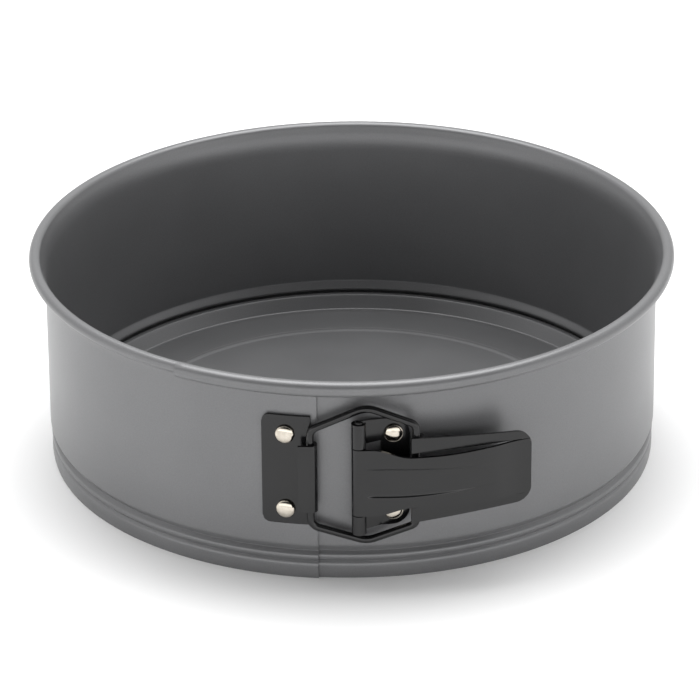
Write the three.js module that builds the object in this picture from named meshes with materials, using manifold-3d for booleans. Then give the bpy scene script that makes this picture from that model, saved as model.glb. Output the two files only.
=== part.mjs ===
// A nine-inch springform pan, in millimetres, +Z up.
//
// A sheet-steel band with a rolled rim and a pressed channel near its foot closes round a loose base
// plate. Its two ends overlap at the front, where a toggle latch pulls them together: a keeper bracket
// on one end, a wire bail, and a lever on a hinge bracket on the other end.
//
// Origin: the middle of the base plate's flat underside, on the pan's axis. The latch faces -Y.
// Azimuths are in degrees, counted from the front (-Y) towards +X and right round to the far end of the
// band, so that the strip runs from TONGUE_END (the inner end) to OUTER_END (the outer end).
import * as THREE from 'three';
import { mergeVertices } from 'three/addons/utils/BufferGeometryUtils.js';
import Module from 'manifold-3d';

const wasm = await Module();
wasm.setup();

// ---- driving dimensions -----------------------------------------------------------------------------
const BAND_HEIGHT = 81.0; // foot of the band to the top of the rim
const FLOOR_LIFT = 3.05; // underside of the base plate above the band's foot
const FOOT_Z = -FLOOR_LIFT;
const RIM_Z = FOOT_Z + BAND_HEIGHT;
const BAND_SHEET = 0.6;
const WALL_R = 114.13; // middle of the sheet where the strip starts to show, at the seam
const LAP_STEP = 0.9; // the strip winds outwards by this much in one turn, so that its ends lap
const ROLL_R = 118.85; // middle of the rolled rim
const ROLL_SIZE = 2.4; // outer radius of the roll
const ROLL_WRAP = 0.5; // extra radius of the roll where it wraps over the strip's other end
const ROLL_TUCK = 0.45; // the roll's loss of radius at the end that it wraps over

const SEAM = -6.4; // the outer end's edge, seen from the front
const TONGUE_END = -33.5; // the inner end's edge, inside the pan
const OUTER_END = SEAM + 360;
const SPRING_AT = SEAM + 180; // where the band flexes, opposite the seam
const HALF_GAP = 0.15; // degrees from that line to the end of the left half
const STEP = 5; // degrees between stations round the pan

const PLATE_SHEET = 0.8;
const PLATE_R = 112.95; // edge of the base plate, inside the band's channel
const PLATE_LIP_Z = 5.8; // top of the plate's lip
const FLOOR_R = 107.0; // where the sunken floor begins

const LATCH_Z = 40.45; // middle height of the latch
const LATCH_SHEET = 1.1;
const RUNNING = 0.15; // clearance round a pin or wire that turns
const BRACKET_GAP = 0.1; // bracket to band
const WIRE_R = 1.4;
const PIN_R = 1.4;
const KEEPER = { x: -15.3, y: -117.0 }; // axis of the bail in the keeper's curl
const HINGE = { x: 2.0, y: -120.7 }; // axis of the hinge pin
const HOOK = { x: 22.4, y: -118.4 }; // axis of the bail under the lever
const LEVER_END_X = 63.9;
const LEVER_DROP = 0.7; // the lever slides down its pin until it rests on the lower knuckle

const RIVET = { head: 3.15, dome: 1.9, shank: 1.5, hole: 1.75, tail: 2.3, tailHeight: 0.5 };
const KEEPER_RIVETS = { azimuth: -12.0, spread: 14.9 }; // spread: up and down from the latch's middle
const HINGE_RIVETS = { azimuth: 7.15, spread: 15.4 };

// ---- small helpers ----------------------------------------------------------------------------------
const rad = THREE.MathUtils.degToRad;
const smooth = (x, from, to) => THREE.MathUtils.smoothstep(x, from, to);
const polar = (azimuth, r) => [r * Math.sin(rad(azimuth)), -r * Math.cos(rad(azimuth))];

// Every station from one azimuth to another: both ends, and each multiple of STEP between them.
function stations(from, to) {
  const list = [from];
  for (let a = Math.ceil(from / STEP + 0.01) * STEP; a < to - 0.05; a += STEP) list.push(a);
  return [...list, to];
}

// A closed body from a list of points and a list of polygons, turned so that its faces point out.
function body(points, polygons) {
  const triangles = polygons.flatMap((p) => p.slice(2).map((_, k) => [p[0], p[k + 1], p[k + 2]]));
  const v = points.map((p) => new THREE.Vector3(...p));
  const volume = triangles.reduce((sum, [a, b, c]) => sum + v[a].dot(v[b].clone().cross(v[c])), 0);
  const index = volume < 0 ? triangles.flatMap(([a, b, c]) => [a, c, b]) : triangles.flat();
  const geometry = new THREE.BufferGeometry();
  geometry.setAttribute('position', new THREE.Float32BufferAttribute(points.flat(), 3));
  geometry.setIndex(index);
  return geometry;
}

// A bent sheet: front and back are grids of points, [station][place across], of the same size.
function sheetBody(front, back) {
  const rows = front.length;
  const cols = front[0].length;
  const points = [...front.flat(), ...back.flat()];
  const f = (i, j) => i * cols + j;
  const b = (i, j) => rows * cols + i * cols + j;
  const polygons = [];
  for (let i = 0; i < rows - 1; i++) {
    for (let j = 0; j < cols - 1; j++) {
      polygons.push([f(i, j), f(i + 1, j), f(i + 1, j + 1), f(i, j + 1)]);
      polygons.push([b(i, j), b(i, j + 1), b(i + 1, j + 1), b(i + 1, j)]);
    }
    for (const [j, turn] of [[0, false], [cols - 1, true]]) {
      const edge = [f(i, j), b(i, j), b(i + 1, j), f(i + 1, j)];
      polygons.push(turn ? edge.reverse() : edge);
    }
  }
  for (let j = 0; j < cols - 1; j++) {
    polygons.push([f(0, j), f(0, j + 1), b(0, j + 1), b(0, j)]);
    polygons.push([f(rows - 1, j), b(rows - 1, j), b(rows - 1, j + 1), f(rows - 1, j + 1)]);
  }
  return body(points, polygons);
}

// Points set off to both sides of an open line in a plane, for a sheet of the given thickness.
function offsetLine(line, thickness) {
  const sides = { left: [], right: [] };
  line.forEach(([x, y], i) => {
    const [x0, y0] = line[Math.max(i - 1, 0)];
    const [x1, y1] = line[Math.min(i + 1, line.length - 1)];
    const length = Math.hypot(x1 - x0, y1 - y0);
    const nx = (-(y1 - y0) / length) * (thickness / 2);
    const ny = ((x1 - x0) / length) * (thickness / 2);
    sides.left.push([x + nx, y + ny]);
    sides.right.push([x - nx, y - ny]);
  });
  return sides;
}

// Points on an arc, from one angle to another (degrees, ordinary x-to-y turn).
function arc(cx, cy, r, from, to, steps) {
  return Array.from({ length: steps + 1 }, (_, k) => {
    const t = rad(from + ((to - from) * k) / steps);
    return [cx + r * Math.cos(t), cy + r * Math.sin(t)];
  });
}

// A closed outline with its corners rounded: each corner is [x, y, radius].
function roundedLoop(corners, steps) {
  const v = (p) => new THREE.Vector2(p[0], p[1]);
  return corners.flatMap((corner, i) => {
    if (!corner[2]) return [[corner[0], corner[1]]];
    const here = v(corner);
    const into = v(corners.at(i - 1)).sub(here).normalize();
    const out = v(corners[(i + 1) % corners.length]).sub(here).normalize();
    const half = Math.acos(THREE.MathUtils.clamp(into.dot(out), -1, 1)) / 2;
    const reach = corner[2] / Math.tan(half);
    const centre = into.clone().add(out).normalize().multiplyScalar(corner[2] / Math.sin(half)).add(here);
    const a0 = here.clone().addScaledVector(into, reach).sub(centre).angle();
    let turn = here.clone().addScaledVector(out, reach).sub(centre).angle() - a0;
    turn -= Math.round(turn / (2 * Math.PI)) * 2 * Math.PI;
    return Array.from({ length: steps + 1 }, (_, k) => {
      const t = a0 + (turn * k) / steps;
      return [centre.x + corner[2] * Math.cos(t), centre.y + corner[2] * Math.sin(t)];
    });
  });
}

// A prism that stands along Z between two heights.
function uprightPrism(outline, z0, z1) {
  const shape = new THREE.Shape(outline.map(([x, y]) => new THREE.Vector2(x, y)));
  return new THREE.ExtrudeGeometry(shape, { depth: z1 - z0, bevelEnabled: false }).translate(0, 0, z0);
}

// A prism with its outline in X and Z that runs along Y through the whole latch.
function throughPrism(outline) {
  const shape = new THREE.Shape(outline.map(([x, z]) => new THREE.Vector2(x, z)));
  const depth = 60;
  return new THREE.ExtrudeGeometry(shape, { depth, bevelEnabled: false })
    .rotateX(Math.PI / 2)
    .translate(0, HINGE.y + depth / 2, 0);
}

// Booleans.
function solid(geometry) {
  const plain = geometry.clone();
  plain.deleteAttribute('normal');
  plain.deleteAttribute('uv');
  const merged = mergeVertices(plain, 1e-4);
  return new wasm.Manifold(
    new wasm.Mesh({
      numProp: 3,
      vertProperties: new Float32Array(merged.attributes.position.array),
      triVerts: new Uint32Array(merged.index.array),
    }),
  );
}

function geometryOf(manifold) {
  const mesh = manifold.getMesh();
  const geometry = new THREE.BufferGeometry();
  geometry.setAttribute('position', new THREE.BufferAttribute(mesh.vertProperties, 3));
  geometry.setIndex(new THREE.BufferAttribute(mesh.triVerts, 1));
  return geometry;
}

// ---- materials --------------------------------------------------------------------------------------
const coatedSteel = () => new THREE.MeshStandardMaterial({ color: 0x6f6f72, roughness: 0.4, metalness: 0.4 });
const blackPaint = () => new THREE.MeshStandardMaterial({ color: 0x1c1c1e, roughness: 0.3, metalness: 0.2 });
const nickel = () => new THREE.MeshStandardMaterial({ color: 0xcfc8b8, roughness: 0.2, metalness: 1.0 });

function part(name, geometry, material) {
  const mesh = new THREE.Mesh(geometry, material);
  mesh.name = name;
  return mesh;
}

// ---- band -------------------------------------------------------------------------------------------
const lapAt = (azimuth) => (LAP_STEP * (azimuth - SEAM)) / 360;
const wrapAt = (azimuth) => 1 - smooth(azimuth, SEAM, 20);
const tuckAt = (azimuth) => smooth(azimuth, 200, OUTER_END);

// The middle of the sheet in section, foot to rim: out from the axis, and height.
const FOOT_LINE = [
  [-0.8, 0],
  [-0.5, 1.6],
  [-0.5, 5.0],
  [-1.3, 6.6],
  [-0.5, 7.8],
  [-0.5, 9.0],
  [-1.9, 10.8],
  [-1.1, 12.0],
  [0, 13.6],
];
const ROLL_FLARE = [
  [0, -3.9],
  [0.3, -1.9],
  [1.2, 0.2],
];
const ROLL_TURN = [125, 80, 35, -10, -55, -100, -145];

function bandLine(azimuth, rolled) {
  const wall = WALL_R + lapAt(azimuth);
  const foot = FOOT_LINE.map(([out, up]) => [wall + out, FOOT_Z + up]);
  const drop = ROLL_SIZE + ROLL_WRAP * Math.max(wrapAt(azimuth), tuckAt(azimuth));
  const rollZ = RIM_Z - drop;
  const flare = ROLL_FLARE.map(([out, up]) => [wall + out, rollZ + up]);
  if (!rolled) return [...foot, flare[0]];
  const radius = ROLL_SIZE + ROLL_WRAP * wrapAt(azimuth) - ROLL_TUCK * tuckAt(azimuth) - BAND_SHEET / 2;
  const roll = ROLL_TURN.map((t) => [ROLL_R + radius * Math.cos(rad(t)), rollZ + radius * Math.sin(rad(t))]);
  return [...foot, ...flare, ...roll];
}

function bandStretch(from, to, rolled) {
  const inner = [];
  const outer = [];
  for (const azimuth of stations(from, to)) {
    const { left, right } = offsetLine(bandLine(azimuth, rolled), BAND_SHEET);
    const place = ([r, z]) => [...polar(azimuth, r), z];
    inner.push(left.map(place));
    outer.push(right.map(place));
  }
  return solid(sheetBody(outer, inner));
}

// Takes two rivets' holes out of a sheet; middle is the height between them.
function drilled(sheet, { azimuth, spread }, middle) {
  const cutter = new THREE.CylinderGeometry(RIVET.hole, RIVET.hole, 20, 12);
  cutter.rotateZ(rad(azimuth)).translate(...polar(azimuth, WALL_R), middle - spread);
  const lower = solid(cutter);
  return geometryOf(sheet.subtract(lower).subtract(lower.translate([0, 0, 2 * spread])));
}

function bandRightHalf() {
  const oneStationPastSeam = stations(SEAM, 0)[1];
  const rolled = bandStretch(SEAM, SPRING_AT, true);
  const tongue = bandStretch(TONGUE_END, oneStationPastSeam, false);
  return drilled(rolled.add(tongue), HINGE_RIVETS, LATCH_Z);
}

function bandLeftHalf() {
  return drilled(bandStretch(SPRING_AT + HALF_GAP, OUTER_END, true), KEEPER_RIVETS, LATCH_Z);
}

// ---- base plate -------------------------------------------------------------------------------------
function basePlate() {
  const top = [
    [0, PLATE_SHEET],
    [86.0, PLATE_SHEET],
    [87.0, PLATE_SHEET + 0.4],
    [89.0, PLATE_SHEET + 0.4],
    [90.0, PLATE_SHEET],
    [FLOOR_R - 0.6, PLATE_SHEET],
    [FLOOR_R + 0.3, PLATE_SHEET + 0.7],
    [110.3, PLATE_LIP_Z - 0.4],
    [111.0, PLATE_LIP_Z],
    [PLATE_R, PLATE_LIP_Z],
  ];
  const under = top.map(([r, z], i) => [r + (i > 5 && i < 9 ? 0.45 : 0), z - PLATE_SHEET]).reverse();
  const profile = [...top, ...under].map(([r, z]) => new THREE.Vector2(r, z)).reverse();
  const lathe = new THREE.LatheGeometry(profile, 360 / STEP).rotateX(Math.PI / 2);
  return geometryOf(solid(lathe));
}

// ---- latch brackets ---------------------------------------------------------------------------------
const curlR = (inside) => inside + RUNNING + LATCH_SHEET / 2;

// The stretch of a bracket that lies on the wall.
function onWall(wallOuter, from, to) {
  const r = wallOuter + BRACKET_GAP + LATCH_SHEET / 2;
  return Array.from({ length: 5 }, (_, k) => polar(from + ((to - from) * k) / 4, r));
}

// A sheet that follows a line seen from above, cut to an outline seen from the front.
function cutSheet(line, outline) {
  const { left, right } = offsetLine(line, LATCH_SHEET);
  const strip = solid(uprightPrism([...left, ...right.reverse()], -30, 30));
  return strip.intersect(solid(throughPrism(outline)));
}

function rectangle(x0, z0, x1, z1) {
  return [[x0, z0], [x1, z0], [x1, z1], [x0, z1]];
}

// The keeper's plate lies on the wall. Its middle part goes on behind the wire, round it, and back over
// its front as a flap.
const KEEPER_PLATE = { top: 22.2, bottom: -21.0, left: -32.6, right: -15.7, corner: 3 };
const KEEPER_FLAP = { top: 12.4, bottom: -13.0, left: -19.7 };

function keeperBracket() {
  const wallOuter = WALL_R + lapAt(OUTER_END - 6) + BAND_SHEET / 2;
  const r = curlR(WIRE_R);
  const wall = onWall(wallOuter, -16.3, -9.6);
  const round = arc(KEEPER.x, KEEPER.y, r, 80, -90, 10);
  const { top, bottom, left, right, corner } = KEEPER_PLATE;
  const plateOutline = roundedLoop(
    [[left, bottom, corner], [right, bottom, 1], [right, top, 1], [left, top, corner]],
    4,
  );
  const plate = cutSheet([...wall, ...round.slice(0, 3)], plateOutline);
  const fold = cutSheet(
    [wall.at(-1), ...round, [KEEPER_FLAP.left, KEEPER.y - r + 0.2]],
    rectangle(-25, KEEPER_FLAP.bottom, 0, KEEPER_FLAP.top),
  );
  return drilled(plate.add(fold), KEEPER_RIVETS, 0);
}

const KNUCKLES = { upper: [12.7, 22.2], lower: [-21.6, -14.1] };
const HINGE_PLATE = { half: 21.2, left: 7.4, right: 20.4, corner: 6.5 };

function hingeBracket() {
  const wallOuter = WALL_R + lapAt(10) + BAND_SHEET / 2;
  const { half, left, right, corner } = HINGE_PLATE;
  const line = [...onWall(wallOuter, 10.1, 4.7), ...arc(HINGE.x, HINGE.y, curlR(PIN_R), 90, 390, 12)];
  const plateOutline = roundedLoop(
    [[left, -half, 1], [right, -half, corner], [right, half, corner], [left, half, 1]],
    4,
  );
  const knuckles = Object.values(KNUCKLES).map(([z0, z1]) => cutSheet(line, rectangle(-3, z0, left + 1, z1)));
  const sheet = knuckles.reduce((sum, knuckle) => sum.add(knuckle), cutSheet(line, plateOutline));
  return drilled(sheet, HINGE_RIVETS, 0);
}

// ---- rivets and pin ---------------------------------------------------------------------------------
// A domed rivet along +Y of its own frame, its head's underside at 0; reach is how far the shank goes in.
function rivet(reach, tailed) {
  const dome = Array.from({ length: 6 }, (_, k) => {
    const t = rad(90 - 18 * k);
    return [RIVET.head * Math.cos(t), 0.35 + (RIVET.dome - 0.35) * Math.sin(t)];
  });
  const tail = tailed
    ? [[RIVET.shank, -reach], [RIVET.tail, -reach], [RIVET.tail, -reach - RIVET.tailHeight]]
    : [[RIVET.shank, -reach]];
  const end = tailed ? -reach - RIVET.tailHeight : -reach;
  const profile = [[0, end], ...tail.reverse(), [RIVET.shank, 0], [RIVET.head, 0], ...dome.reverse()];
  return new THREE.LatheGeometry(profile.map(([r, y]) => new THREE.Vector2(Math.max(r, 0), y)), 16);
}

function rivets(prefix, { azimuth, spread }, wallOuter, reach, tailed) {
  const seat = wallOuter + BRACKET_GAP + LATCH_SHEET + 0.15;
  return ['upper', 'lower'].map((place, i) => {
    const mesh = part(`${prefix}_rivet_${place}`, geometryOf(solid(rivet(reach, tailed))), nickel());
    const turn = new THREE.Group();
    turn.rotation.z = rad(azimuth);
    mesh.rotation.z = Math.PI;
    mesh.position.set(0, -seat, i ? -spread : spread);
    turn.add(mesh);
    return turn;
  });
}

function hingePin() {
  const low = KNUCKLES.lower[0] - 0.3;
  const high = KNUCKLES.upper[1] + 0.3;
  const profile = [[0, low - 0.5], [0.8, low - 0.35], [PIN_R, low], [PIN_R, high], [0.8, high + 0.35]];
  const points = [...profile, [0, high + 0.5]].map(([r, y]) => new THREE.Vector2(r, y));
  const pin = new THREE.LatheGeometry(points, 16).rotateX(Math.PI / 2).translate(HINGE.x, HINGE.y, 0);
  return geometryOf(solid(pin));
}

// ---- bail -------------------------------------------------------------------------------------------
// A closed loop of wire in the upright plane through the keeper's axis and the hook's axis.
function bailWire() {
  const along = new THREE.Vector2(HOOK.x - KEEPER.x, HOOK.y - KEEPER.y);
  const length = along.length();
  along.normalize();
  const apex = 20.1;
  const corners = [
    [0, -20.3, 4],
    [apex, -26.3, 9],
    [length, -19.3, 3],
    [length, 20.4, 3],
    [apex, 27.0, 9],
    [0, 17.8, 4],
  ];
  const loop = roundedLoop(corners, 5);
  const sides = 10;
  const points = loop.flatMap(([u, z], i) => {
    const [u0, z0] = loop.at(i - 1);
    const [u1, z1] = loop[(i + 1) % loop.length];
    const run = Math.hypot(u1 - u0, z1 - z0);
    const nu = (z1 - z0) / run;
    const nz = -(u1 - u0) / run;
    return Array.from({ length: sides }, (_, k) => {
      const t = (2 * Math.PI * k) / sides;
      const inPlane = WIRE_R * Math.cos(t);
      const across = WIRE_R * Math.sin(t);
      const uu = u + nu * inPlane;
      return [
        KEEPER.x + along.x * uu - along.y * across,
        KEEPER.y + along.y * uu + along.x * across,
        z + nz * inPlane,
      ];
    });
  });
  const at = (i, k) => (i % loop.length) * sides + (k % sides);
  const polygons = loop.flatMap((_, i) =>
    Array.from({ length: sides }, (_, k) => [at(i, k), at(i + 1, k), at(i + 1, k + 1), at(i, k + 1)]),
  );
  return body(points, polygons);
}

// ---- lever ------------------------------------------------------------------------------------------
// One stamped sheet. A tongue runs from the hinge curl to the free end. Two wings lie beside it, parted
// from it by slits and set further back, and the three are one again near the free end.
const WING = { from: 20.8, root: 16.8, tip: 14.1, inner: 10.9 }; // half heights, at both ends and inside
const TONGUE = { flatTo: 14, bend: 0.00579, joinsAt: 62.3 };
const RECESS = { half: 5.8, taper: 1.6, edge: 0.6, depth: 0.55 };
const END_PLATE_FROM = 59.6;
const END_CORNER = 5.5;

// The front of the sheet, seen from above.
const wingFront = (x) => HOOK.y + 2.4 + 0.288 * (x - 42) + 0.00168 * (x - 42) ** 2;
function tongueFront(x) {
  const out = Math.max(0, x - TONGUE.flatTo);
  const free = HINGE.y - PIN_R - RUNNING - LATCH_SHEET + TONGUE.bend * out ** 2;
  const joined = smooth(x, 50, TONGUE.joinsAt);
  return free * (1 - joined) + (wingFront(x) + 0.08) * joined;
}

const LEVER_CURL_HALF = 13.1;
const tongueHalf = (x) => LEVER_CURL_HALF - 3.25 * smooth(x, 7, 21) + 0.8 * smooth(x, 30, 56);
const recessHalf = (x) => RECESS.half - RECESS.taper * smooth(x, 12, 58);
const recessDepth = (x) => RECESS.depth * smooth(x, 3.5, 7) * (1 - smooth(x, 20, 60));

function wingHalf(x) {
  const along = THREE.MathUtils.mapLinear(x, WING.from, 60, WING.root, WING.tip);
  const into = Math.max(0, x - (LEVER_END_X - END_CORNER));
  return along - (END_CORNER - Math.sqrt(Math.max(END_CORNER ** 2 - into ** 2, 0)));
}

// A sheet whose front follows a curve; across(x) gives its [z, lift] places, the same count at each x.
function stampedSheet(runs, frontAt, across) {
  const rows = runs.map((x) => {
    const slope = (frontAt(x + 0.1) - frontAt(x - 0.1)) / 0.2;
    const length = Math.hypot(1, slope);
    const shift = (depth) => [x - (slope / length) * depth, frontAt(x) + depth / length];
    return [0, LATCH_SHEET].map((depth) => across(x).map(([z, lift]) => [...shift(depth - lift), z]));
  });
  return solid(sheetBody(rows.map((row) => row[0]), rows.map((row) => row[1])));
}

function evenly(from, to, pieces) {
  return Array.from({ length: pieces + 1 }, (_, k) => from + ((to - from) * k) / pieces);
}

function leverSheet() {
  const tongue = stampedSheet(evenly(HINGE.x, TONGUE.joinsAt, 24), tongueFront, (x) => {
    const upper = [[tongueHalf(x), 0], [recessHalf(x), 0], [recessHalf(x) - RECESS.edge, -recessDepth(x)]];
    return [...upper, ...upper.map(([z, lift]) => [-z, lift]).reverse()];
  });
  const corner = [0.25, 0.45, 0.62, 0.77, 0.88, 0.96, 1].map((t) => LEVER_END_X - END_CORNER * (1 - t));
  const endPlate = stampedSheet([END_PLATE_FROM, ...corner.slice(1)], wingFront, (x) => [
    [wingHalf(x), 0],
    [-wingHalf(x), 0],
  ]);
  const wings = [1, -1].map((side) =>
    stampedSheet(evenly(WING.from, END_PLATE_FROM + 0.4, 12), wingFront, (x) => [
      [side * wingHalf(x), 0],
      [side * WING.inner, 0],
    ]),
  );
  return [endPlate, ...wings].reduce((sum, piece) => sum.add(piece), tongue);
}

// A tab lanced from each wing and bent behind the bail's wire. Its mouth faces the hinge.
const TAB = { inner: 11.3, outer: 15.9, slack: 1.5 };

function hookTab(side) {
  const halfSheet = LATCH_SHEET / 2;
  const flangeX = HOOK.x + WIRE_R + 0.35 + halfSheet;
  const jawY = HOOK.y + WIRE_R + TAB.slack + halfSheet;
  const bend = 1.2;
  const line = [
    [flangeX, HOOK.y - WIRE_R - 0.8],
    ...arc(flangeX - bend, jawY - bend, bend, 0, 90, 4),
    [HOOK.x, jawY],
  ];
  const { left, right } = offsetLine(line, LATCH_SHEET);
  const [z0, z1] = [TAB.inner, TAB.outer].map((z) => side * z).sort((p, q) => p - q);
  return solid(uprightPrism([...left, ...right.reverse()], z0, z1));
}

function lever() {
  const line = [...arc(HINGE.x, HINGE.y, curlR(PIN_R), -90, -345, 14)];
  const { left, right } = offsetLine([[HINGE.x + 0.4, HINGE.y - curlR(PIN_R)], ...line], LATCH_SHEET);
  const strip = [...left, ...right.reverse()];
  const rolled = solid(uprightPrism(strip, -LEVER_CURL_HALF, LEVER_CURL_HALF));
  const whole = [leverSheet(), hookTab(1), hookTab(-1)].reduce((sum, piece) => sum.add(piece), rolled);
  return geometryOf(whole.translate([0, 0, -LEVER_DROP]));
}

// ---- assembly ---------------------------------------------------------------------------------------
const group = new THREE.Group();

group.add(part('band_right_half', bandRightHalf(), coatedSteel()));
group.add(part('band_left_half', bandLeftHalf(), coatedSteel()));
group.add(part('base_plate', basePlate(), coatedSteel()));

const keeperWall = WALL_R + lapAt(OUTER_END - 6) + BAND_SHEET / 2;
const hingeWall = WALL_R + lapAt(10) + BAND_SHEET / 2;
const bracketStack = BRACKET_GAP + LATCH_SHEET + 0.15 + BAND_SHEET;

const latch = new THREE.Group();
latch.position.z = LATCH_Z;
latch.add(part('keeper_bracket', keeperBracket(), blackPaint()));
latch.add(...rivets('keeper', KEEPER_RIVETS, keeperWall, bracketStack - 0.05, false));
latch.add(part('hinge_bracket', hingeBracket(), blackPaint()));
latch.add(...rivets('hinge', HINGE_RIVETS, hingeWall, bracketStack + 0.15, true));
latch.add(part('hinge_pin', hingePin(), blackPaint()));
latch.add(part('lever', lever(), blackPaint()));
latch.add(part('bail_wire', bailWire(), blackPaint()));
group.add(latch);

export default group;
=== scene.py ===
"""The looks of a springform pan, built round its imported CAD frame.

The origin is the middle of the base plate's flat underside, +Z is up and the latch faces -Y. The pan's
sizes are in millimetres and become metres where a mesh is made; the studio's are in metres. Azimuths are
in degrees from the front (-Y) towards +X, and run on to the far end of the band's strip.
"""

import math

import bmesh
import bpy
from mathutils import Matrix, Vector


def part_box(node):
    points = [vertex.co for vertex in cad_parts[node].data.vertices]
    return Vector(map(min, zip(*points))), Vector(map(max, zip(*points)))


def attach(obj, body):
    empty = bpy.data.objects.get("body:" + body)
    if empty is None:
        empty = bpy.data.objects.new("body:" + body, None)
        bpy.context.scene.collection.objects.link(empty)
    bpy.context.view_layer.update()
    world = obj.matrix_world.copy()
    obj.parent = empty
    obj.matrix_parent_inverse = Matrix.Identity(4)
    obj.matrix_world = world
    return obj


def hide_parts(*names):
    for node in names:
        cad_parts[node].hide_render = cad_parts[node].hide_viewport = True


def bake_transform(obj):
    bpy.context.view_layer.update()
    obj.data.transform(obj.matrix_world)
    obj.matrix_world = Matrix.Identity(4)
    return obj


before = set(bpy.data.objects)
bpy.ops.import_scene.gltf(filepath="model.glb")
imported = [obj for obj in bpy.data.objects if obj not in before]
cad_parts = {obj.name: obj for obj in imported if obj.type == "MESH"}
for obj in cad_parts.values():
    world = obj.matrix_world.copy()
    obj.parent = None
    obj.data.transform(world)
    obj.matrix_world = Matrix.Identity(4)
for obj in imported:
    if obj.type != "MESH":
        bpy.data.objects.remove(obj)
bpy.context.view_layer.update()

MM = 0.001

# ---- driving dimensions ---------------------------------------------------------------------------
BAND_HEIGHT = 81.0
FOOT_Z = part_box("band_right_half")[0].z / MM
RIM_Z = FOOT_Z + BAND_HEIGHT
BAND_SHEET = 0.6
WALL_R = 114.13  # the middle of the sheet at the seam
LAP_STEP = 0.9  # the strip winds outwards by this much in a turn
# The foot and its bead in section: outwards from the wall, and up from the foot.
FOOT_LINE = [(-0.8, 0), (-0.5, 1.6), (-0.5, 4.6), (-0.75, 5.7), (-1.3, 6.6), (-0.85, 7.4), (-0.45, 8.1),
             (-0.55, 9.1), (-1.2, 9.8), (-1.9, 10.55), (-1.65, 11.2), (-0.4, 12.9), (-0.05, 13.6), (0, 14.4)]
BAND_SECTION_EVERY = 2.0  # degrees

SEAM = -6.4
TONGUE_END = -33.5
OUTER_END = SEAM + 360
SPRING_AT = SEAM + 180

ROLL_R = 118.85  # the middle of the roll
ROLL_SIZE = 2.4  # its outer radius
ROLL_TURN = (148, -172)  # where the roll leaves the flare, and where it ends
# The flare under the roll: its share of the way out from the wall to the roll, and its height.
ROLL_FLARE = [(0, -7.5), (0.08, -5.4), (0.26, -3.2), (0.52, -1.2), (0.78, 0.3)]
TONGUE_TOP = -4.6
ROLL_OPEN = 40  # near the seam the roll stops short by this many degrees of its turn
ROLL_OPEN_NEAR = (16, 34)  # whole up to the first, and gone by the second, in degrees from the seam
WRAP_FROM = TONGUE_END + 361.9  # the roll steps out here, over the strip's other end
WRAP_STEP = 0.08  # degrees
ROLL_WRAP = 0.45  # how much larger the roll is where it wraps
WRAP_FADE = (SEAM + 4, 60)  # right of the seam it falls back to its own size between these azimuths
ROLL_TUCK = 0.25  # how much smaller the roll gets on the way to the wrap
TUCK_FROM = 200

PLATE_SHEET = 0.8
PLATE_R = 112.95
PLATE_LIP_Z = 5.8
LIP_INNER_R = 111.6
FLOOR_R = 107.0
RING_R, RING_WIDTH, RING_HEIGHT = 90.4, 4.8, 0.4

LATCH_Z = 40.45  # the middle of the latch
LATCH_SHEET = 1.1
LATCH_EDGE = 0.28  # the rounding of a latch part's edges
WALL_GAP = 0.1
RUNNING = 0.15  # the room between a curl and what turns in it
WIRE_R = 1.4
PIN_R = 1.4
PIN_CROWN = 0.5

# Places seen from above.
KEEPER = (-15.3, -117.0)
HINGE = (2.0, -120.7)
HOOK = (22.4, -118.4)

# From here on, heights in the latch are from its middle.
KEEPER_SPAN = (-16.3, -9.6)  # azimuths of the part that lies on the wall
KEEPER_TOP, KEEPER_BOTTOM, KEEPER_CORNER = 22.2, -21.0, 3.0
FLAP_TOP, FLAP_BOTTOM, FLAP_LEFT = 12.4, -14.2, -19.7
HINGE_SPAN = (10.1, 4.9)
HINGE_PLATE_HALF, HINGE_CORNER = 21.2, 6.5
UPPER_KNUCKLE = (12.7, 22.2)
LOWER_KNUCKLE = (-21.6, -14.1)

LEVER_END_X, LEVER_CORNER = 63.9, 5.5
LEVER_DROP = 0.7  # the lever sits this far down its pin
LEVER_CURL_HALF = 13.1
TONGUE_NARROWS, TONGUE_WIDENS = 3.25, 0.8
TONGUE_FLAT_TO = 14.0
TONGUE_CURVE = 0.00579
TONGUE_PROUD = 0.3  # how far the tongue stands in front of the wings where they join
TONGUE_JOINS = (50, 62.3)
JOINED_FROM = 61.0  # the slits end here
WING_FROM, WING_ROOT_HALF = 20.8, 16.8
WING_NARROW_X, WING_NARROW_HALF = 60.0, 14.1
WING_INNER = 10.9
WING_MIDDLE_X, WING_BACK, WING_SLOPE, WING_CURVE = 42.0, 2.4, 0.288, 0.00168
RECESS_HALF, RECESS_TAPER, RECESS_DEPTH = 5.8, 1.6, 0.55
TAB_HEIGHTS = (11.3, 15.9)
TAB_BEND = 1.2
TAB_PLAY, JAW_PLAY = 0.35, 1.5  # the room round the wire beside it, and behind it

RIVET_HEAD, RIVET_SHANK, RIVET_REACH = 3.5, 1.5, 1.9
RIVET_EDGE, RIVET_DOME = 0.45, 1.45
RIVET_TAIL, RIVET_TAIL_HEIGHT = 2.3, 0.5
KEEPER_RIVET_AT, KEEPER_RIVET_SPREAD = -12.0, 14.9
HINGE_RIVET_AT, HINGE_RIVET_SPREAD = 7.15, 15.4

# The wire's corners as height and radius: at the keeper, at its widest, and at the hook.
BAIL_WIDEST_AT = 20.1
BAIL_UPPER = [(17.8, 4), (27.0, 9), (20.4, 3)]
BAIL_LOWER = [(-20.3, 4), (-26.3, 9), (-19.3, 3)]

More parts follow.
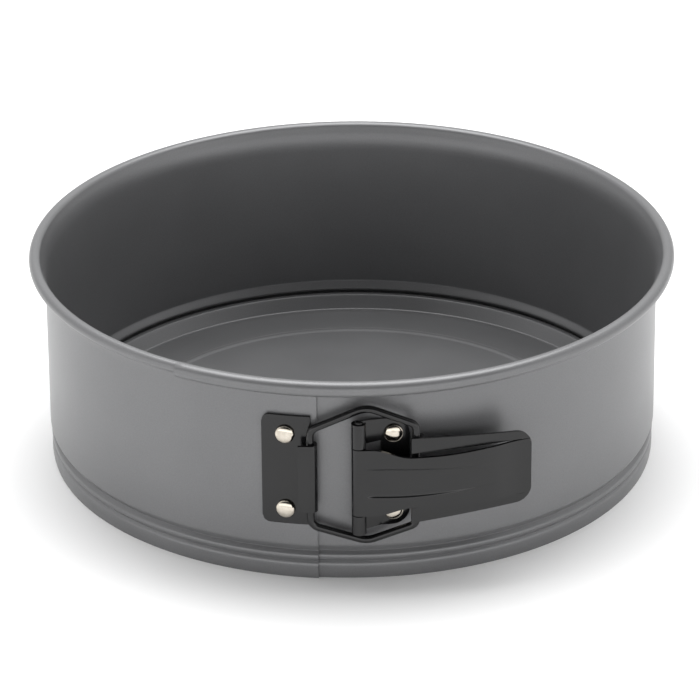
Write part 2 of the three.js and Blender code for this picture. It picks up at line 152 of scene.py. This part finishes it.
# ---- looks ----------------------------------------------------------------------------------------
STEEL_DARK, STEEL_LIGHT = (0.140, 0.141, 0.145), (0.200, 0.201, 0.205)
STEEL_ROUGHNESS = (0.34, 0.40)
STEEL_METALLIC = 0.4
STEEL_COAT, STEEL_COAT_ROUGHNESS = 0.1, 0.3
PAINT_DARK, PAINT_LIGHT = (0.0035, 0.0035, 0.0038), (0.0065, 0.0065, 0.0070)
PAINT_ROUGHNESS = (0.15, 0.20)
NICKEL_DARK, NICKEL_LIGHT = (0.52, 0.475, 0.40), (0.64, 0.59, 0.52)
NICKEL_ROUGHNESS = (0.12, 0.2)

# The world light goes by direction, given as the parts of a unit vector.
BACK_LIGHT, TOP_LIGHT = 0.85, 1.2
TOP_FROM = (0.2, 0.6)  # behind the pan it grows to the top light between these heights
FRONT_LIGHT, DIM_LIGHT = 2.2, 0.0  # it is dark above the camera
DIM_FROM = (0.2, 0.5)  # in front it falls to the dim light between these heights
FRONT_TO_BACK = (-0.55, 0.1)
OVERHEAD_PLACE, OVERHEAD_SIZE, OVERHEAD_POWER = (0, 0.36, 1.4), (1.4, 1.0), 21
STUDIO_FLOOR_HALF = 6.0
CAMERA_TARGET = Vector((-0.0008, 0, 0.0337))
CAMERA_ELEVATION, CAMERA_DISTANCE, CAMERA_ROLL = 25.54, 1.763, 0.451
LENS, SENSOR_WIDTH, CLIP_END = 238.7, 36, 20


# ---- helpers --------------------------------------------------------------------------------------
def smooth(x, start, end):
    t = min(max((x - start) / (end - start), 0.0), 1.0)
    return t * t * (3 - 2 * t)


def lerp(a, b, t):
    return a + (b - a) * t


def polar(azimuth, r):
    t = math.radians(azimuth)
    return r * math.sin(t), -r * math.cos(t)


def stations(start, end):
    """The azimuths of a stretch's sections: both ends, and even steps between them."""
    first = math.ceil(start / BAND_SECTION_EVERY + 0.05)
    last = math.floor(end / BAND_SECTION_EVERY - 0.05)
    return [start, *[k * BAND_SECTION_EVERY for k in range(first, last + 1)], end]


def arc(centre, r, start, end, steps):
    """Points on an arc between two angles in degrees."""
    angles = [math.radians(lerp(start, end, k / steps)) for k in range(steps + 1)]
    return [(centre[0] + r * math.cos(t), centre[1] + r * math.sin(t)) for t in angles]


def curve_through(points, steps):
    """A smooth line through points (Catmull-Rom), with steps pieces between each two."""
    out = []
    for i in range(len(points) - 1):
        p0, p1, p2, p3 = (points[min(max(i + k, 0), len(points) - 1)] for k in (-1, 0, 1, 2))
        for k in range(steps):
            t = k / steps
            out.append(tuple(
                0.5 * (2 * b + (c - a) * t + (2 * a - 5 * b + 4 * c - d) * t ** 2
                       + (3 * b - a - 3 * c + d) * t ** 3)
                for a, b, c, d in zip(p0, p1, p2, p3)
            ))
    return [*out, tuple(points[-1])]


def offset(line, distance):
    """An open line in a plane, moved to its left by distance."""
    out = []
    for i, (x, y) in enumerate(line):
        (x0, y0), (x1, y1) = line[max(i - 1, 0)], line[min(i + 1, len(line) - 1)]
        length = math.hypot(x1 - x0, y1 - y0)
        out.append((x - (y1 - y0) / length * distance, y + (x1 - x0) / length * distance))
    return out


def mesh_object(name, points, faces, material, sharp=38):
    """A mesh piece from points in millimetres, its faces turned out, smooth except at sharp edges."""
    mesh = bpy.data.meshes.new(name)
    mesh.from_pydata([tuple(c * MM for c in p) for p in points], [], faces)
    mesh.validate()
    work = bmesh.new()
    work.from_mesh(mesh)
    bmesh.ops.remove_doubles(work, verts=work.verts, dist=1e-7)
    bmesh.ops.delete(work, geom=[v for v in work.verts if not v.link_faces], context="VERTS")
    bmesh.ops.recalc_face_normals(work, faces=work.faces)
    work.to_mesh(mesh)
    work.free()
    mesh.shade_smooth()
    mesh.set_sharp_from_angle(angle=math.radians(sharp))
    mesh.materials.append(material)
    piece = bpy.data.objects.new(name, mesh)
    bpy.context.scene.collection.objects.link(piece)
    return piece


def grid_faces(rows, cols, closed_rows=False, closed_cols=False, skip=None):
    """Four-sided faces between the points of a grid, less those that skip(row, column) leaves out."""
    faces = []
    for i in range(rows if closed_rows else rows - 1):
        for j in range(cols if closed_cols else cols - 1):
            if skip and skip(i, j):
                continue
            i1, j1 = (i + 1) % rows, (j + 1) % cols
            faces.append(tuple(a * cols + b for a, b in ((i, j), (i, j1), (i1, j1), (i1, j))))
    return faces


def round_edges(piece, width):
    bevel = piece.modifiers.new("rounded edges", "BEVEL")
    bevel.width = width * MM
    bevel.segments = 3
    bevel.limit_method = "ANGLE"
    bevel.angle_limit = math.radians(32)
    bevel.harden_normals = True


def thicken(piece, thickness, side):
    """Makes a surface a sheet: side 0 is both ways from it, and -1 or 1 one way."""
    shell = piece.modifiers.new("sheet", "SOLIDIFY")
    shell.thickness = thickness * MM
    shell.offset = side
    shell.use_even_offset = False


def lathe(name, profile, material, steps):
    """A closed profile of (radius, height) turned round Z."""
    points = [(*polar(360 * i / steps, r), z) for i in range(steps) for r, z in profile]
    faces = grid_faces(steps, len(profile), closed_rows=True)
    return mesh_object(name, points, faces, material)


# ---- materials ------------------------------------------------------------------------------------
def new_material(name):
    material = bpy.data.materials.new(name)
    material.use_nodes = True
    nodes, links = material.node_tree.nodes, material.node_tree.links
    return material, nodes, links, nodes["Principled BSDF"]


def noise(nodes, links, coords, scale, detail=4.0, rough=0.6):
    node = nodes.new("ShaderNodeTexNoise")
    node.inputs["Scale"].default_value = scale
    node.inputs["Detail"].default_value = detail
    node.inputs["Roughness"].default_value = rough
    links.new(coords.outputs["Object"], node.inputs["Vector"])
    return node


def spread(nodes, links, source, low, high, start=0.3, end=0.7):
    """Maps a texture's value onto a range."""
    node = nodes.new("ShaderNodeMapRange")
    node.inputs["From Min"].default_value = start
    node.inputs["From Max"].default_value = end
    node.inputs["To Min"].default_value = low
    node.inputs["To Max"].default_value = high
    links.new(source, node.inputs["Value"])
    return node.outputs["Result"]


def tinted(nodes, links, factor, dark, light):
    node = nodes.new("ShaderNodeMix")
    node.data_type = "RGBA"
    node.inputs["A"].default_value = (*dark, 1)
    node.inputs["B"].default_value = (*light, 1)
    links.new(factor, node.inputs["Factor"])
    return node.outputs["Result"]


def bumped(nodes, links, heights, distance, shader):
    """Adds fine relief: heights is a list of (texture output, strength)."""
    normal = None
    for height, strength in heights:
        node = nodes.new("ShaderNodeBump")
        node.inputs["Strength"].default_value = strength
        node.inputs["Distance"].default_value = distance
        links.new(height, node.inputs["Height"])
        if normal:
            links.new(normal, node.inputs["Normal"])
        normal = node.outputs["Normal"]
    links.new(normal, shader.inputs["Normal"])


def coated_steel():
    """Dark grey non-stick coating: satin, with a fine metallic fleck and a faint orange-peel."""
    material, nodes, links, shader = new_material("coated_steel")
    coords = nodes.new("ShaderNodeTexCoord")
    cloud = noise(nodes, links, coords, 18, 3.0)
    fleck = noise(nodes, links, coords, 2600, 2.0, 0.5)
    peel = noise(nodes, links, coords, 520, 3.0, 0.55)
    tone = nodes.new("ShaderNodeMath")
    tone.operation = "MULTIPLY_ADD"
    tone.inputs[1].default_value = 0.35
    links.new(spread(nodes, links, cloud.outputs["Fac"], 0, 0.3), tone.inputs[2])
    links.new(spread(nodes, links, fleck.outputs["Fac"], 0, 1), tone.inputs[0])
    color = tinted(nodes, links, tone.outputs[0], STEEL_DARK, STEEL_LIGHT)
    links.new(color, shader.inputs["Base Color"])
    shader.inputs["Metallic"].default_value = STEEL_METALLIC
    links.new(spread(nodes, links, cloud.outputs["Fac"], *STEEL_ROUGHNESS), shader.inputs["Roughness"])
    shader.inputs["Coat Weight"].default_value = STEEL_COAT
    shader.inputs["Coat Roughness"].default_value = STEEL_COAT_ROUGHNESS
    bumped(nodes, links, [(peel.outputs["Fac"], 0.05), (fleck.outputs["Fac"], 0.04)], 0.0003, shader)
    return material


def black_paint():
    """Baked black enamel on the latch: semi-gloss, slightly worn and dusty."""
    material, nodes, links, shader = new_material("black_paint")
    coords = nodes.new("ShaderNodeTexCoord")
    cloud = noise(nodes, links, coords, 60, 4.0)
    grain = noise(nodes, links, coords, 1500, 2.0, 0.5)
    color = tinted(nodes, links, spread(nodes, links, cloud.outputs["Fac"], 0, 1), PAINT_DARK, PAINT_LIGHT)
    links.new(color, shader.inputs["Base Color"])
    shader.inputs["Specular IOR Level"].default_value = 0.44
    links.new(spread(nodes, links, cloud.outputs["Fac"], *PAINT_ROUGHNESS), shader.inputs["Roughness"])
    bumped(nodes, links, [(grain.outputs["Fac"], 0.04)], 0.0003, shader)
    return material


def nickel():
    """Bright nickel plating with a fine mottle in tone and relief, and a warm cast."""
    material, nodes, links, shader = new_material("nickel")
    coords = nodes.new("ShaderNodeTexCoord")
    cloud = noise(nodes, links, coords, 700, 3.0)
    color = tinted(nodes, links, spread(nodes, links, cloud.outputs["Fac"], 0, 1), NICKEL_DARK, NICKEL_LIGHT)
    links.new(color, shader.inputs["Base Color"])
    shader.inputs["Metallic"].default_value = 1.0
    links.new(spread(nodes, links, cloud.outputs["Fac"], *NICKEL_ROUGHNESS), shader.inputs["Roughness"])
    bumped(nodes, links, [(cloud.outputs["Fac"], 0.05)], 0.0002, shader)
    return material


STEEL = coated_steel()
PAINT = black_paint()
NICKEL = nickel()


# ---- band -----------------------------------------------------------------------------------------
def lap_at(azimuth):
    """How far the strip has wound outwards from the seam."""
    return LAP_STEP * (azimuth - SEAM) / 360


def roll_at(azimuth):
    """Outer radius of the rolled rim: larger where it wraps over the strip's other end."""
    if azimuth > WRAP_FROM:
        return ROLL_SIZE + ROLL_WRAP
    wrapped = ROLL_WRAP * (1 - smooth(azimuth, *WRAP_FADE))
    tucked = ROLL_TUCK * smooth(azimuth, TUCK_FROM, WRAP_FROM)
    return ROLL_SIZE + wrapped - tucked


def roll_open(azimuth):
    """How far the roll stops short of its whole turn, in degrees."""
    from_seam = min(abs(azimuth - SEAM), abs(azimuth - OUTER_END))
    return ROLL_OPEN * (1 - smooth(from_seam, *ROLL_OPEN_NEAR))


def band_line(azimuth, rolled=True):
    """The middle of the sheet in section, from the foot to the end of the roll: radius and height."""
    wall = WALL_R + lap_at(azimuth)
    foot = curve_through([(wall + out, FOOT_Z + up) for out, up in FOOT_LINE], 3)
    size = roll_at(azimuth)
    roll_z = RIM_Z - ROLL_SIZE - ROLL_WRAP
    upright = [(wall, lerp(foot[-1][1], roll_z + ROLL_FLARE[0][1], t)) for t in (0.25, 0.5, 0.75)]
    if not rolled:
        return [*foot, *upright, (wall, roll_z + TONGUE_TOP)]
    r = size - BAND_SHEET / 2
    begin, end = ROLL_TURN
    turn = arc((ROLL_R, roll_z + (ROLL_SIZE + ROLL_WRAP - size)), r, begin, end + roll_open(azimuth), 24)
    flare = [(lerp(wall, turn[0][0], share), roll_z + up) for share, up in ROLL_FLARE]
    return [*foot, *upright, *curve_through([*flare, turn[0]], 3)[:-1], *turn]


def band_piece(name, start, end, rolled=True):
    """A stretch of the strip, with both faces and all four edges."""
    rows = []
    places = stations(start, end)
    if start < WRAP_FROM < end:
        places = sorted([*places, WRAP_FROM, WRAP_FROM + WRAP_STEP])
    for azimuth in places:
        line = band_line(azimuth, rolled)
        inner = offset(line, BAND_SHEET / 2)
        outer = offset(line, -BAND_SHEET / 2)
        rows.append([(*polar(azimuth, r), z) for r, z in [*outer, *reversed(inner)]])
    cols = len(rows[0])
    points = [p for row in rows for p in row]
    faces = grid_faces(len(rows), cols, closed_cols=True)
    for base in (0, (len(rows) - 1) * cols):
        for j in range(cols // 2 - 1):
            faces.append((base + j, base + j + 1, base + cols - 2 - j, base + cols - 1 - j))
    return mesh_object(name, points, faces, STEEL)


band_right = band_piece("band_right", SEAM, SPRING_AT)
tongue = band_piece("band_tongue", TONGUE_END, SEAM, rolled=False)
band_left = band_piece("band_left", SPRING_AT, OUTER_END)

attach(band_right, "band_right")
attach(tongue, "band_right")
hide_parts("band_right_half")
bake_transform(band_left)
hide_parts("band_left_half")


# ---- base plate -----------------------------------------------------------------------------------
def base_plate():
    """Lip, slope, floor and ring bead, turned round Z, with the same line again below as the underside."""
    lip = [(PLATE_R - 0.2, PLATE_LIP_Z), (LIP_INNER_R, PLATE_LIP_Z), (LIP_INNER_R - 0.6, PLATE_LIP_Z - 0.12),
           (LIP_INNER_R - 1.1, PLATE_LIP_Z - 0.5)]
    slope = [(FLOOR_R + 0.7, PLATE_SHEET + 0.9), (FLOOR_R + 0.1, PLATE_SHEET + 0.25),
             (FLOOR_R - 0.8, PLATE_SHEET)]
    outside = [(r, PLATE_SHEET) for r in (104, 98, 94)]
    ring = [(RING_R - RING_WIDTH * t, PLATE_SHEET + RING_HEIGHT * math.sin(math.pi * t) ** 2)
            for t in [k / 12 for k in range(13)]]
    inside = [(r, PLATE_SHEET) for r in (80, 60, 40, 20, 5, 0)]
    top = [*curve_through([*lip, *slope], 4), *outside, *ring, *inside]
    under = [*[(max(r, 0), z) for r, z in offset(top, PLATE_SHEET)[:-1]], (0, 0)]
    return lathe("pan_floor", [*top, *reversed(under), top[0]], STEEL, steps=180)


floor_piece = base_plate()
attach(floor_piece, "band_right")
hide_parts("base_plate")


# ---- latch ----------------------------------------------------------------------------------------
def curl_r(inside):
    """The middle of a sheet curled round a wire or pin."""
    return inside + RUNNING + LATCH_SHEET / 2


def strip_grid(name, line, places, skip=None):
    """A thin surface: line is its run seen from above, places(i) gives heights across it at each point."""
    rows = [[(x, y, LATCH_Z + z) for z in places(i)] for i, (x, y) in enumerate(line)]
    cols = len(rows[0])
    faces = grid_faces(len(rows), cols, skip=skip)
    points = [p for row in rows for p in row]
    return mesh_object(name, points, faces, PAINT)


def on_wall(wall_outer, start, end):
    """The middle of a sheet that lies on the wall between two azimuths, in 24 steps."""
    r = wall_outer + WALL_GAP + LATCH_SHEET / 2
    return [polar(lerp(start, end, k / 24), r) for k in range(25)]


def rounded_half(position, length, half, corner):
    """Half height of a plate with rounded corners, at a place along its run."""
    into = corner - min(position, length - position)
    if into <= 0:
        return half
    return half - corner + math.sqrt(max(corner ** 2 - into ** 2, 0))


def finish_sheet(piece, body, node, edge=LATCH_EDGE):
    """Sheet thickness, rounded edges, body, and hides the node that the piece replaces, if any."""
    thicken(piece, LATCH_SHEET, 0.0)
    round_edges(piece, edge)
    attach(piece, body)
    if node:
        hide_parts(node)
    return piece


# The outside of the wall under each bracket.
keeper_wall = WALL_R + lap_at(OUTER_END - 6) + BAND_SHEET / 2
hinge_wall = WALL_R + lap_at(10) + BAND_SHEET / 2


def keeper_bracket():
    """The plate lies on the wall; its middle goes on behind the wire, round it and back as a flap."""
    r = curl_r(WIRE_R)
    flat = on_wall(keeper_wall, *KEEPER_SPAN)
    round_wire = arc(KEEPER, r, 96, -90, 19)
    bridge = curve_through([flat[-2], flat[-1], round_wire[0], round_wire[1]], 4)[4:-4]
    leans_in = 0.2
    flap = [(lerp(KEEPER[0], FLAP_LEFT, t), KEEPER[1] - r + leans_in * t) for t in (0.25, 0.5, 0.75, 0.93, 1)]
    line = [*flat[:-1], *bridge, *round_wire[1:], *flap]
    wide = len(flat) - 1 + len(bridge)
    runs = [0.0]
    for before, here in zip(line, line[1:]):
        runs.append(runs[-1] + math.dist(before, here))
    length = runs[wide]

    def places(i):
        inset = KEEPER_TOP - rounded_half(min(runs[i], length), length * 2, KEEPER_TOP, KEEPER_CORNER)
        top, bottom = KEEPER_TOP - inset, KEEPER_BOTTOM + inset
        fold = [lerp(FLAP_TOP, FLAP_BOTTOM, k / 6) for k in range(7)]
        return [top, top - 0.5, (top + FLAP_TOP) / 2, *fold, (bottom + FLAP_BOTTOM) / 2, bottom + 0.5, bottom]

    def beside_fold(i, j):
        return i >= wide and not 3 <= j <= 8

    piece = strip_grid("keeper", line, places, skip=beside_fold)
    return finish_sheet(piece, "band_left", "keeper_bracket")


def hinge_bracket():
    """The leaf lies on the wall; two knuckles go on from it round the pin."""
    flat = on_wall(hinge_wall, *HINGE_SPAN)
    curl = arc(HINGE, curl_r(PIN_R), 90, 375, 22)
    line = [*flat, *curl]
    length = math.dist(flat[0], flat[-1])

    def places(i):
        low, high = LOWER_KNUCKLE[0], UPPER_KNUCKLE[1]
        if i < len(flat):
            high = rounded_half(math.dist(flat[0], line[i]), length * 2, HINGE_PLATE_HALF, HINGE_CORNER)
            low = -high
        upper = [high, high - 0.6, (high + UPPER_KNUCKLE[0]) / 2, UPPER_KNUCKLE[0]]
        lower = [LOWER_KNUCKLE[1], (low + LOWER_KNUCKLE[1]) / 2, low + 0.6, low]
        return [*upper, 5, 0, -5, *lower]

    def between_knuckles(i, j):
        return i >= len(flat) - 1 and 3 <= j <= 6

    piece = strip_grid("hinge_leaf", line, places, skip=between_knuckles)
    return finish_sheet(piece, "band_right", "hinge_bracket")


def wing_front(x):
    out = x - WING_MIDDLE_X
    return HOOK[1] + WING_BACK + WING_SLOPE * out + WING_CURVE * out ** 2


def tongue_front(x):
    """The tongue bends back from the hinge, and joins the wings near the free end."""
    out = max(0.0, x - TONGUE_FLAT_TO)
    free = HINGE[1] - PIN_R - RUNNING - LATCH_SHEET + TONGUE_CURVE * out ** 2
    return lerp(free, wing_front(x) - TONGUE_PROUD, smooth(x, *TONGUE_JOINS))


def tongue_half(x):
    return LEVER_CURL_HALF - TONGUE_NARROWS * smooth(x, 7, 21) + TONGUE_WIDENS * smooth(x, 30, 56)


def wing_half(x):
    along = lerp(WING_ROOT_HALF, WING_NARROW_HALF, (x - WING_FROM) / (WING_NARROW_X - WING_FROM))
    into = max(0.0, x - (LEVER_END_X - LEVER_CORNER))
    return along - (LEVER_CORNER - math.sqrt(max(LEVER_CORNER ** 2 - into ** 2, 0)))


def recess_half(x):
    return RECESS_HALF - RECESS_TAPER * smooth(x, 12, 58)


def recess_depth(x):
    return RECESS_DEPTH * smooth(x, 3.5, 7) * (1 - smooth(x, 20, 60))


def tongue_section(x):
    """Across the tongue, from its upper edge to its lower one: height, and minus how far it is sunk."""
    half, edge, sunk = tongue_half(x), recess_half(x), -recess_depth(x)
    step = [(edge + 0.35, 0), (edge, sunk * 0.12), (edge - 0.3, sunk * 0.5), (edge - 0.6, sunk * 0.88),
            (edge - 0.95, sunk)]
    upper = [(half, 0), (half - 0.6, 0), ((half + edge) / 2, 0), *step]
    lower = [(-z, lift) for z, lift in reversed(upper)]
    section = [*upper, (2.0, sunk), (0, sunk), (-2.0, sunk), *lower]
    if x <= JOINED_FROM:
        return section
    tip = min(1.0, (min(WING_INNER, wing_half(x) - 0.3) - 0.25) / half)
    return [(z * tip, lift) for z, lift in section]


def curl_row(x, y):
    """A section of the curl round the pin, with the wings' columns folded into its edges."""
    half = tongue_half(HINGE[0])
    tongue = [(x, y, z) for z, _ in tongue_section(HINGE[0])]
    return [*[(x, y, half)] * 3, *tongue, *[(x, y, -half)] * 3]


def lever_row(x):
    """A section beyond the curl: upper wing, tongue and lower wing."""
    slope = (tongue_front(x + 0.1) - tongue_front(x - 0.1)) / 0.2
    length = math.hypot(1, slope)
    ahead, back = slope / length, -1 / length
    tongue = [(x + ahead * lift, tongue_front(x) + back * lift, z) for z, lift in tongue_section(x)]
    outer = wing_half(max(x, WING_FROM))
    inner = min(WING_INNER, outer - 0.3)
    heights = (outer, (outer + inner) / 2, inner)
    upper = [(x, wing_front(x), z) for z in heights]
    lower = [(x, wing_front(x), -z) for z in reversed(heights)]
    return [*upper, *tongue, *lower]


def lever_sheet():
    """The lever's front surface: curl, tongue, two wings and the free end, with a slit on each side."""
    curl = arc(HINGE, PIN_R + RUNNING + LATCH_SHEET, -345, -90, 24)[:-1]
    even = [HINGE[0] + k * 1.25 for k in range(45)]
    into_corner = (0, 0.2, 0.38, 0.54, 0.68, 0.79, 0.88, 0.95, 0.99)
    corner = [LEVER_END_X - LEVER_CORNER * (1 - t) for t in into_corner]
    runs = sorted({round(x, 3) for x in [*even, *corner, WING_FROM, JOINED_FROM]})
    rows = [*[curl_row(x, y) for x, y in curl], *[lever_row(x) for x in runs]]
    points = [(x, y, LATCH_Z - LEVER_DROP + z) for row in rows for x, y, z in row]
    xs = [*[-math.inf] * len(curl), *runs]
    cols = len(rows[0])

    def left_out(i, j):
        from_edge = min(j, cols - 2 - j)
        if from_edge < 2:
            return xs[i] < WING_FROM - 0.01
        return from_edge == 2 and xs[i] < JOINED_FROM - 0.01

    return mesh_object("lever_plate", points, grid_faces(len(rows), cols, skip=left_out), PAINT)


lever = lever_sheet()
faces_front = lever.data.polygons[len(lever.data.polygons) // 2].normal.y < 0
thicken(lever, LATCH_SHEET, -1.0 if faces_front else 1.0)
round_edges(lever, LATCH_EDGE)
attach(lever, "lever")
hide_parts("lever")


def hook_tab(side):
    """A tab bent behind the bail's wire, under one wing."""
    place = "upper" if side > 0 else "lower"
    flange_x = HOOK[0] + WIRE_R + TAB_PLAY + LATCH_SHEET / 2
    jaw_y = HOOK[1] + WIRE_R + JAW_PLAY + LATCH_SHEET / 2
    line = [(flange_x, HOOK[1] - WIRE_R - 0.5), (flange_x, HOOK[1]),
            *arc((flange_x - TAB_BEND, jaw_y - TAB_BEND), TAB_BEND, 0, 90, 8), (HOOK[0], jaw_y)]
    low, high = sorted(side * z - LEVER_DROP for z in TAB_HEIGHTS)
    piece = strip_grid(f"lever_tab_{place}", line, lambda i: [low, (low + high) / 2, high])
    return finish_sheet(piece, "lever", None, 0.2)


hook_tab(1)
hook_tab(-1)
keeper_bracket()
hinge_bracket()


# ---- rivets, pin and bail -------------------------------------------------------------------------
def set_in_wall(piece, azimuth, r, z, tip):
    """Places a piece made round Z at the wall, pointing outwards (tip 90) or inwards (tip -90)."""
    turn = Matrix.Rotation(math.radians(azimuth), 4, "Z") @ Matrix.Rotation(math.radians(tip), 4, "X")
    piece.data.transform(Matrix.Translation(Vector((*polar(azimuth, r), z)) * MM) @ turn)


def rivet(name, azimuth, wall_outer, z, body, node):
    """A domed head and its shank."""
    angles = [math.radians(90 - 7.5 * k) for k in range(13)]
    dome = [(max(RIVET_HEAD * math.cos(t), 0), RIVET_EDGE + RIVET_DOME * math.sin(t)) for t in angles]
    rim = [(RIVET_HEAD, 0.2), (RIVET_HEAD - 0.15, 0.05), (2.2, 0.0)]
    shank = [(RIVET_SHANK, -0.2), (RIVET_SHANK, -RIVET_REACH), (0, -RIVET_REACH)]
    piece = lathe(name, [*dome, *rim, *shank], NICKEL, steps=40)
    set_in_wall(piece, azimuth, wall_outer + WALL_GAP + LATCH_SHEET + 0.12, z, 90)
    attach(piece, body)
    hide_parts(node)


def rivet_tail(name, azimuth, z):
    """The end of a rivet, spread against the inside of the wall."""
    crown = [(0, RIVET_TAIL_HEIGHT), (1.4, RIVET_TAIL_HEIGHT), (2.0, 0.35)]
    piece = lathe(name, [*crown, (RIVET_TAIL, 0.1), (RIVET_TAIL, 0), (0, 0)], NICKEL, steps=32)
    set_in_wall(piece, azimuth, WALL_R + lap_at(7) - BAND_SHEET / 2 - 0.02, z, -90)
    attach(piece, "band_right")


for place, side in (("upper", 1), ("lower", -1)):
    z = LATCH_Z + side * KEEPER_RIVET_SPREAD
    rivet(f"keeper_head_{place}", KEEPER_RIVET_AT, keeper_wall, z, "band_left", f"keeper_rivet_{place}")
    z = LATCH_Z + side * HINGE_RIVET_SPREAD
    rivet(f"hinge_head_{place}", HINGE_RIVET_AT, hinge_wall, z, "band_right", f"hinge_rivet_{place}")
    rivet_tail(f"hinge_tail_{place}", HINGE_RIVET_AT, z)


def hinge_pin():
    """A plain pin with a crown at each end."""
    low, high = LOWER_KNUCKLE[0] - 0.3, UPPER_KNUCKLE[1] + 0.3
    angles = [math.radians(90 - 15 * k) for k in range(7)]
    crown = [(max(PIN_R * math.cos(t), 0), PIN_CROWN * math.sin(t)) for t in angles]
    profile = [*[(r, high + h) for r, h in crown], *[(r, low - h) for r, h in reversed(crown)]]
    piece = lathe("pivot_pin", profile, PAINT, steps=40)
    piece.data.transform(Matrix.Translation(Vector((*HINGE, LATCH_Z)) * MM))
    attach(piece, "band_right")
    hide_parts("hinge_pin")


def rounded_loop(corners, steps):
    """A closed outline with rounded corners, each given as (u, z, radius)."""
    out = []
    for i, (u, z, radius) in enumerate(corners):
        here = Vector((u, z))
        into = (Vector(corners[i - 1][:2]) - here).normalized()
        away = (Vector(corners[(i + 1) % len(corners)][:2]) - here).normalized()
        half = into.angle(away) / 2
        centre = here + (into + away).normalized() * radius / math.sin(half)
        a0 = here + into * radius / math.tan(half) - centre
        a1 = here + away * radius / math.tan(half) - centre
        turn = math.atan2(a0.x * a1.y - a0.y * a1.x, a0.dot(a1))
        for k in range(steps + 1):
            out.append(centre + Matrix.Rotation(turn * k / steps, 2) @ a0)
    return out


def bail():
    """A closed loop of wire, in the upright plane through the keeper's curl and the hooks."""
    along = Vector(HOOK) - Vector(KEEPER)
    length = along.length
    along.normalize()
    places = (0, BAIL_WIDEST_AT, length)
    lower, upper = ([(u, *corner) for u, corner in zip(places, side)] for side in (BAIL_LOWER, BAIL_UPPER))
    loop = rounded_loop([*lower, *reversed(upper)], 12)
    sides = 24
    points = []
    for i, here in enumerate(loop):
        run = (loop[(i + 1) % len(loop)] - loop[i - 1]).normalized()
        for k in range(sides):
            t = 2 * math.pi * k / sides
            u = here.x + run.y * WIRE_R * math.cos(t)
            across = WIRE_R * math.sin(t)
            z = here.y - run.x * WIRE_R * math.cos(t)
            points.append((KEEPER[0] + along.x * u - along.y * across,
                           KEEPER[1] + along.y * u + along.x * across, LATCH_Z + z))
    faces = grid_faces(len(loop), sides, closed_rows=True, closed_cols=True)
    piece = mesh_object("bail", points, faces, PAINT, 60)
    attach(piece, "bail")
    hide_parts("bail_wire")


hinge_pin()
bail()


# ---- studio ---------------------------------------------------------------------------------------
def world_light(scene):
    """White light by direction: bright low in front, dark high in front, and even behind and above."""
    world = bpy.data.worlds.new("studio")
    scene.world = world
    world.use_nodes = True
    nodes, links = world.node_tree.nodes, world.node_tree.links
    nodes["Background"].inputs["Color"].default_value = (1, 1, 1, 1)
    direction = nodes.new("ShaderNodeTexCoord")
    apart = nodes.new("ShaderNodeSeparateXYZ")
    links.new(direction.outputs["Generated"], apart.inputs["Vector"])
    in_front = spread(nodes, links, apart.outputs["Z"], FRONT_LIGHT, DIM_LIGHT, *DIM_FROM)
    behind = spread(nodes, links, apart.outputs["Z"], BACK_LIGHT, TOP_LIGHT, *TOP_FROM)
    strength = spread(nodes, links, apart.outputs["Y"], 0, 1, *FRONT_TO_BACK)
    links.new(in_front, strength.node.inputs["To Min"])
    links.new(behind, strength.node.inputs["To Max"])
    links.new(strength, nodes["Background"].inputs["Strength"])


def studio_floor(scene):
    mesh = bpy.data.meshes.new("studio_floor")
    half = STUDIO_FLOOR_HALF
    corners = [(-half, -half), (half, -half), (half, half), (-half, half)]
    mesh.from_pydata([(x, y, FOOT_Z * MM) for x, y in corners], [], [(0, 1, 2, 3)])
    floor = bpy.data.objects.new("studio_floor", mesh)
    scene.collection.objects.link(floor)
    material, _, _, shader = new_material("pale_floor")
    shader.inputs["Base Color"].default_value = (0.96, 0.96, 0.96, 1)
    shader.inputs["Roughness"].default_value = 0.9
    shader.inputs["Specular IOR Level"].default_value = 0.0
    mesh.materials.append(material)


def overhead_lamp(scene):
    lamp = bpy.data.lights.new("overhead", "AREA")
    lamp.shape = "RECTANGLE"
    lamp.size, lamp.size_y = OVERHEAD_SIZE
    lamp.energy = OVERHEAD_POWER
    overhead = bpy.data.objects.new("overhead", lamp)
    overhead.location = OVERHEAD_PLACE
    overhead.rotation_mode = "QUATERNION"
    overhead.rotation_quaternion = (-Vector(OVERHEAD_PLACE)).to_track_quat("-Z", "Y")
    scene.collection.objects.link(overhead)


def camera(scene):
    data = bpy.data.cameras.new("camera")
    data.sensor_width = SENSOR_WIDTH
    data.lens = LENS
    data.clip_end = CLIP_END
    eye = bpy.data.objects.new("camera", data)
    elevation = math.radians(CAMERA_ELEVATION)
    back = Vector((0, -math.cos(elevation), math.sin(elevation)))
    eye.location = CAMERA_TARGET + back * CAMERA_DISTANCE
    eye.rotation_mode = "QUATERNION"
    roll = Matrix.Rotation(math.radians(-CAMERA_ROLL), 4, "Z").to_quaternion()
    eye.rotation_quaternion = (-back).to_track_quat("-Z", "Y") @ roll
    scene.collection.objects.link(eye)
    scene.camera = eye


bpy.context.scene.view_settings.view_transform = "Standard"
world_light(bpy.context.scene)
studio_floor(bpy.context.scene)
overhead_lamp(bpy.context.scene)
camera(bpy.context.scene)
